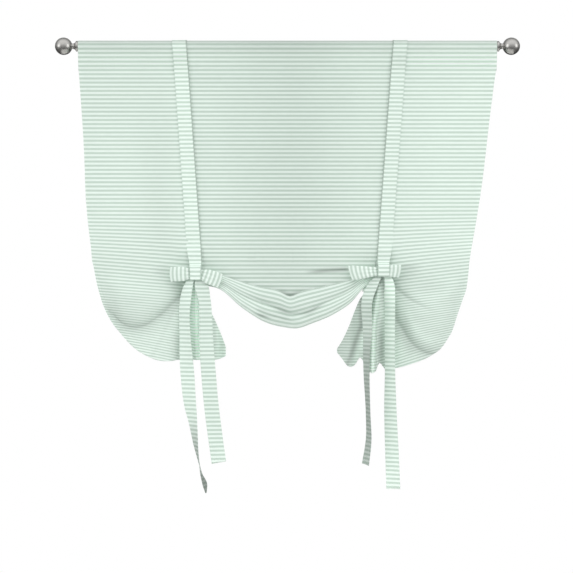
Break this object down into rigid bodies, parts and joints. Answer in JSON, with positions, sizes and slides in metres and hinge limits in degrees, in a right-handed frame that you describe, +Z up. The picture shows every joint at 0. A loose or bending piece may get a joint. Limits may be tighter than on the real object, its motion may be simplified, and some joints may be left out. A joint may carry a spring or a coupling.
{
  "type": "tie-up curtain",
  "caption": "Striped cloth window panel on a telescoping rod with ball finials, lifted by straps tied in bows so that it hangs as a swag with side wings.",
  "frame": {"origin": "on the rod's axis, at the middle of the cloth panel", "axes": "+X to the right along the rod, +Z up, front of the cloth towards -Y"},
  "size_m": [1.1862, 0.0665, 1.1593],
  "materials": {
    "striped_cotton": "woven cotton with even mint and white stripes across it",
    "striped_ribbon": "strips of the same striped cotton, sewn double",
    "rod_steel": "satin plated tube",
    "plug_plastic": "plain moulded plug",
    "satin_nickel": "satin nickel plating on a turned ball"
  },
  "bodies": {
    "curtain": {"curtain_panel": "striped_cotton", "left_front_tie": "striped_ribbon", "left_back_tie": "striped_ribbon", "right_front_tie": "striped_ribbon", "right_back_tie": "striped_ribbon", "rod_outer_tube": "rod_steel", "left_end_plug": "plug_plastic", "left_finial": "satin_nickel"},
    "rod_extension": {"rod_inner_tube": "rod_steel", "right_end_plug": "plug_plastic", "right_finial": "satin_nickel"}
  },
  "joints": [
    {"name": "rod_slide", "type": "slide", "parent": "curtain", "child": "rod_extension", "axis": [1, 0, 0], "range_m": [0, 0.15]}
  ]
}
